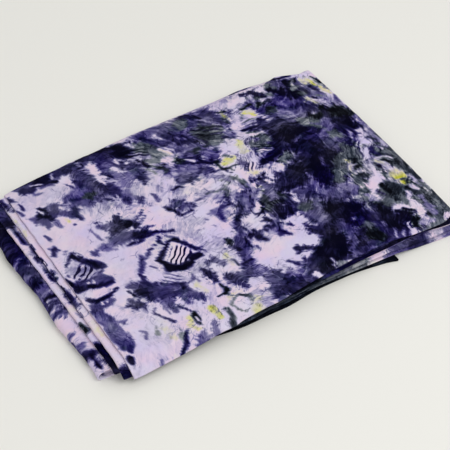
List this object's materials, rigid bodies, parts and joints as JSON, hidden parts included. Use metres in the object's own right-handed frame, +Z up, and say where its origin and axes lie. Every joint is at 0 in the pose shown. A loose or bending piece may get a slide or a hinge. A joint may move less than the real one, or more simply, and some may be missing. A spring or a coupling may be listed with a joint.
{
  "type": "folded adire cloth",
  "caption": "Tie-dyed cotton cloth folded lengthwise and then back and forth into a flat, slightly uneven packet that lies on a surface.",
  "frame": {"origin": "middle of the packet's footprint, on the surface that it lies on", "axes": "+X along the packet, from the end with the stepped folds to the other end; +Y away from the side where the edges of the layers show; +Z up"},
  "size_m": [0.444, 0.3114, 0.0203],
  "materials": {
    "dyed_cotton": "plain-woven cotton, tie-dyed in indigo and violet over a pale lavender ground, with small yellow-green and slate patches; soft low sheen"
  },
  "bodies": {
    "root": {"adire_cloth": "dyed_cotton"}
  },
  "joints": []
}
